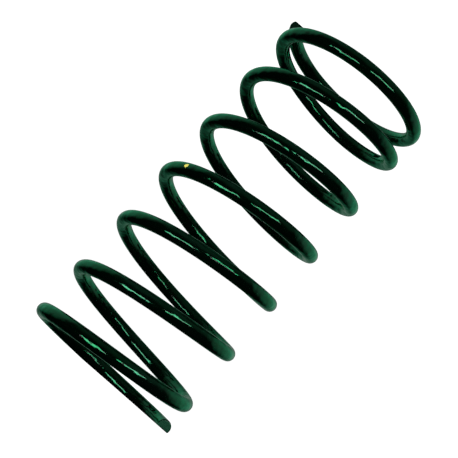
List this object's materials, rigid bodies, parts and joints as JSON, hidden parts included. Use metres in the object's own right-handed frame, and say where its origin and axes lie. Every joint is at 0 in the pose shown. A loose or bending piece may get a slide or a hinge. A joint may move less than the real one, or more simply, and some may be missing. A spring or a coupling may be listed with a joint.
{
  "type": "coil spring",
  "caption": "Cylindrical compression spring of round wire, right-hand wound, wound closer at both ends and ground flat at both tips, with a gloss coating and a paint mark.",
  "frame": {"origin": "on the coil's axis, at the level of the lower seat, which is the flat ground on the wire's lower tip", "axes": "+Z along the coil's axis from the lower seat to the upper seat; +X from the axis towards the wire's lower tip"},
  "size_m": [0.144, 0.144, 0.3266],
  "materials": {
    "green_coating": "gloss dark green coating, slightly wavy like orange peel",
    "paint_mark": "satin yellow paint dab"
  },
  "bodies": {
    "lower_end": {"lower_end_1": "green_coating", "lower_end_2": "green_coating", "lower_end_3": "green_coating", "lower_end_4": "green_coating", "lower_end_5": "green_coating", "lower_end_6": "green_coating"},
    "turn_1_part_1": {"turn_1_part_1": "green_coating"},
    "turn_1_part_2": {"turn_1_part_2": "green_coating"},
    "turn_1_part_3": {"turn_1_part_3": "green_coating"},
    "turn_1_part_4": {"turn_1_part_4": "green_coating"},
    "turn_1_part_5": {"turn_1_part_5": "green_coating"},
    "turn_1_part_6": {"turn_1_part_6": "green_coating"},
    "turn_2_part_1": {"turn_2_part_1": "green_coating"},
    "turn_2_part_2": {"turn_2_part_2": "green_coating"},
    "turn_2_part_3": {"turn_2_part_3": "green_coating"},
    "turn_2_part_4": {"turn_2_part_4": "green_coating"},
    "turn_2_part_5": {"turn_2_part_5": "green_coating"},
    "turn_2_part_6": {"turn_2_part_6": "green_coating"},
    "turn_3_part_1": {"turn_3_part_1": "green_coating"},
    "turn_3_part_2": {"turn_3_part_2": "green_coating"},
    "turn_3_part_3": {"turn_3_part_3": "green_coating"},
    "turn_3_part_4": {"turn_3_part_4": "green_coating"},
    "turn_3_part_5": {"turn_3_part_5": "green_coating"},
    "turn_3_part_6": {"turn_3_part_6": "green_coating", "paint_mark": "paint_mark"},
    "turn_4_part_1": {"turn_4_part_1": "green_coating"},
    "turn_4_part_2": {"turn_4_part_2": "green_coating"},
    "turn_4_part_3": {"turn_4_part_3": "green_coating"},
    "turn_4_part_4": {"turn_4_part_4": "green_coating"},
    "turn_4_part_5": {"turn_4_part_5": "green_coating"},
    "turn_4_part_6": {"turn_4_part_6": "green_coating"},
    "turn_5_part_1": {"turn_5_part_1": "green_coating"},
    "turn_5_part_2": {"turn_5_part_2": "green_coating"},
    "turn_5_part_3": {"turn_5_part_3": "green_coating"},
    "turn_5_part_4": {"turn_5_part_4": "green_coating"},
    "turn_5_part_5": {"turn_5_part_5": "green_coating"},
    "turn_5_part_6": {"turn_5_part_6": "green_coating"},
    "turn_6_part_1": {"turn_6_part_1": "green_coating"},
    "turn_6_part_2": {"turn_6_part_2": "green_coating"},
    "turn_6_part_3": {"turn_6_part_3": "green_coating"},
    "turn_6_part_4": {"turn_6_part_4": "green_coating"},
    "turn_6_part_5": {"turn_6_part_5": "green_coating"},
    "turn_6_part_6": {"turn_6_part_6": "green_coating"},
    "upper_end": {"upper_end_1": "green_coating", "upper_end_2": "green_coating", "upper_end_3": "green_coating"}
  },
  "joints": [
    {"name": "compression", "type": "slide", "parent": "lower_end", "child": "upper_end", "axis": [0, 0, -1], "range_m": [0, 0.17], "stiffness_N_per_m": 14900},
    {"name": "turn_1_part_1_travel", "type": "slide", "parent": "lower_end", "child": "turn_1_part_1", "axis": [0, 0, -1], "range_m": [0, 0.00119]},
    {"name": "turn_1_part_2_travel", "type": "slide", "parent": "lower_end", "child": "turn_1_part_2", "axis": [0, 0, -1], "range_m": [0, 0.00206]},
    {"name": "turn_1_part_3_travel", "type": "slide", "parent": "lower_end", "child": "turn_1_part_3", "axis": [0, 0, -1], "range_m": [0, 0.00716]},
    {"name": "turn_1_part_4_travel", "type": "slide", "parent": "lower_end", "child": "turn_1_part_4", "axis": [0, 0, -1], "range_m": [0, 0.01231]},
    {"name": "turn_1_part_5_travel", "type": "slide", "parent": "lower_end", "child": "turn_1_part_5", "axis": [0, 0, -1], "range_m": [0, 0.01746]},
    {"name": "turn_1_part_6_travel", "type": "slide", "parent": "lower_end", "child": "turn_1_part_6", "axis": [0, 0, -1], "range_m": [0, 0.02261]},
    {"name": "turn_2_part_1_travel", "type": "slide", "parent": "lower_end", "child": "turn_2_part_1", "axis": [0, 0, -1], "range_m": [0, 0.02777]},
    {"name": "turn_2_part_2_travel", "type": "slide", "parent": "lower_end", "child": "turn_2_part_2", "axis": [0, 0, -1], "range_m": [0, 0.03292]},
    {"name": "turn_2_part_3_travel", "type": "slide", "parent": "lower_end", "child": "turn_2_part_3", "axis": [0, 0, -1], "range_m": [0, 0.03807]},
    {"name": "turn_2_part_4_travel", "type": "slide", "parent": "lower_end", "child": "turn_2_part_4", "axis": [0, 0, -1], "range_m": [0, 0.04322]},
    {"name": "turn_2_part_5_travel", "type": "slide", "parent": "lower_end", "child": "turn_2_part_5", "axis": [0, 0, -1], "range_m": [0, 0.04837]},
    {"name": "turn_2_part_6_travel", "type": "slide", "parent": "lower_end", "child": "turn_2_part_6", "axis": [0, 0, -1], "range_m": [0, 0.05352]},
    {"name": "turn_3_part_1_travel", "type": "slide", "parent": "lower_end", "child": "turn_3_part_1", "axis": [0, 0, -1], "range_m": [0, 0.05867]},
    {"name": "turn_3_part_2_travel", "type": "slide", "parent": "lower_end", "child": "turn_3_part_2", "axis": [0, 0, -1], "range_m": [0, 0.06382]},
    {"name": "turn_3_part_3_travel", "type": "slide", "parent": "lower_end", "child": "turn_3_part_3", "axis": [0, 0, -1], "range_m": [0, 0.06897]},
    {"name": "turn_3_part_4_travel", "type": "slide", "parent": "lower_end", "child": "turn_3_part_4", "axis": [0, 0, -1], "range_m": [0, 0.07412]},
    {"name": "turn_3_part_5_travel", "type": "slide", "parent": "lower_end", "child": "turn_3_part_5", "axis": [0, 0, -1], "range_m": [0, 0.07928]},
    {"name": "turn_3_part_6_travel", "type": "slide", "parent": "lower_end", "child": "turn_3_part_6", "axis": [0, 0, -1], "range_m": [0, 0.08443]},
    {"name": "turn_4_part_1_travel", "type": "slide", "parent": "lower_end", "child": "turn_4_part_1", "axis": [0, 0, -1], "range_m": [0, 0.08958]},
    {"name": "turn_4_part_2_travel", "type": "slide", "parent": "lower_end", "child": "turn_4_part_2", "axis": [0, 0, -1], "range_m": [0, 0.09473]},
    {"name": "turn_4_part_3_travel", "type": "slide", "parent": "lower_end", "child": "turn_4_part_3", "axis": [0, 0, -1], "range_m": [0, 0.09988]},
    {"name": "turn_4_part_4_travel", "type": "slide", "parent": "lower_end", "child": "turn_4_part_4", "axis": [0, 0, -1], "range_m": [0, 0.10503]},
    {"name": "turn_4_part_5_travel", "type": "slide", "parent": "lower_end", "child": "turn_4_part_5", "axis": [0, 0, -1], "range_m": [0, 0.11018]},
    {"name": "turn_4_part_6_travel", "type": "slide", "parent": "lower_end", "child": "turn_4_part_6", "axis": [0, 0, -1], "range_m": [0, 0.11533]},
    {"name": "turn_5_part_1_travel", "type": "slide", "parent": "lower_end", "child": "turn_5_part_1", "axis": [0, 0, -1], "range_m": [0, 0.12048]},
    {"name": "turn_5_part_2_travel", "type": "slide", "parent": "lower_end", "child": "turn_5_part_2", "axis": [0, 0, -1], "range_m": [0, 0.12563]},
    {"name": "turn_5_part_3_travel", "type": "slide", "parent": "lower_end", "child": "turn_5_part_3", "axis": [0, 0, -1], "range_m": [0, 0.13079]},
    {"name": "turn_5_part_4_travel", "type": "slide", "parent": "lower_end", "child": "turn_5_part_4", "axis": [0, 0, -1], "range_m": [0, 0.13594]},
    {"name": "turn_5_part_5_travel", "type": "slide", "parent": "lower_end", "child": "turn_5_part_5", "axis": [0, 0, -1], "range_m": [0, 0.14109]},
    {"name": "turn_5_part_6_travel", "type": "slide", "parent": "lower_end", "child": "turn_5_part_6", "axis": [0, 0, -1], "range_m": [0, 0.14624]},
    {"name": "turn_6_part_1_travel", "type": "slide", "parent": "lower_end", "child": "turn_6_part_1", "axis": [0, 0, -1], "range_m": [0, 0.15139]},
    {"name": "turn_6_part_2_travel", "type": "slide", "parent": "lower_end", "child": "turn_6_part_2", "axis": [0, 0, -1], "range_m": [0, 0.15654]},
    {"name": "turn_6_part_3_travel", "type": "slide", "parent": "lower_end", "child": "turn_6_part_3", "axis": [0, 0, -1], "range_m": [0, 0.16169]},
    {"name": "turn_6_part_4_travel", "type": "slide", "parent": "lower_end", "child": "turn_6_part_4", "axis": [0, 0, -1], "range_m": [0, 0.16641]},
    {"name": "turn_6_part_5_travel", "type": "slide", "parent": "lower_end", "child": "turn_6_part_5", "axis": [0, 0, -1], "range_m": [0, 0.16974]},
    {"name": "turn_6_part_6_travel", "type": "slide", "parent": "lower_end", "child": "turn_6_part_6", "axis": [0, 0, -1], "range_m": [0, 0.17167]}
  ],
  "couplings": [
    {"joint": "turn_1_part_1_travel", "follows": "compression", "ratio": 0.004},
    {"joint": "turn_1_part_2_travel", "follows": "compression", "ratio": 0.0091},
    {"joint": "turn_1_part_3_travel", "follows": "compression", "ratio": 0.0388},
    {"joint": "turn_1_part_4_travel", "follows": "compression", "ratio": 0.0688},
    {"joint": "turn_1_part_5_travel", "follows": "compression", "ratio": 0.0988},
    {"joint": "turn_1_part_6_travel", "follows": "compression", "ratio": 0.1288},
    {"joint": "turn_2_part_1_travel", "follows": "compression", "ratio": 0.1588},
    {"joint": "turn_2_part_2_travel", "follows": "compression", "ratio": 0.1888},
    {"joint": "turn_2_part_3_travel", "follows": "compression", "ratio": 0.2188},
    {"joint": "turn_2_part_4_travel", "follows": "compression", "ratio": 0.2488},
    {"joint": "turn_2_part_5_travel", "follows": "compression", "ratio": 0.2788},
    {"joint": "turn_2_part_6_travel", "follows": "compression", "ratio": 0.3088},
    {"joint": "turn_3_part_1_travel", "follows": "compression", "ratio": 0.3388},
    {"joint": "turn_3_part_2_travel", "follows": "compression", "ratio": 0.3688},
    {"joint": "turn_3_part_3_travel", "follows": "compression", "ratio": 0.3988},
    {"joint": "turn_3_part_4_travel", "follows": "compression", "ratio": 0.4288},
    {"joint": "turn_3_part_5_travel", "follows": "compression", "ratio": 0.4588},
    {"joint": "turn_3_part_6_travel", "follows": "compression", "ratio": 0.4888},
    {"joint": "turn_4_part_1_travel", "follows": "compression", "ratio": 0.5188},
    {"joint": "turn_4_part_2_travel", "follows": "compression", "ratio": 0.5488},
    {"joint": "turn_4_part_3_travel", "follows": "compression", "ratio": 0.5788},
    {"joint": "turn_4_part_4_travel", "follows": "compression", "ratio": 0.6088},
    {"joint": "turn_4_part_5_travel", "follows": "compression", "ratio": 0.6388},
    {"joint": "turn_4_part_6_travel", "follows": "compression", "ratio": 0.6688},
    {"joint": "turn_5_part_1_travel", "follows": "compression", "ratio": 0.6988},
    {"joint": "turn_5_part_2_travel", "follows": "compression", "ratio": 0.7288},
    {"joint": "turn_5_part_3_travel", "follows": "compression", "ratio": 0.7588},
    {"joint": "turn_5_part_4_travel", "follows": "compression", "ratio": 0.7888},
    {"joint": "turn_5_part_5_travel", "follows": "compression", "ratio": 0.8188},
    {"joint": "turn_5_part_6_travel", "follows": "compression", "ratio": 0.8488},
    {"joint": "turn_6_part_1_travel", "follows": "compression", "ratio": 0.8788},
    {"joint": "turn_6_part_2_travel", "follows": "compression", "ratio": 0.9088},
    {"joint": "turn_6_part_3_travel", "follows": "compression", "ratio": 0.9388},
    {"joint": "turn_6_part_4_travel", "follows": "compression", "ratio": 0.9663},
    {"joint": "turn_6_part_5_travel", "follows": "compression", "ratio": 0.9857},
    {"joint": "turn_6_part_6_travel", "follows": "compression", "ratio": 0.9969}
  ]
}
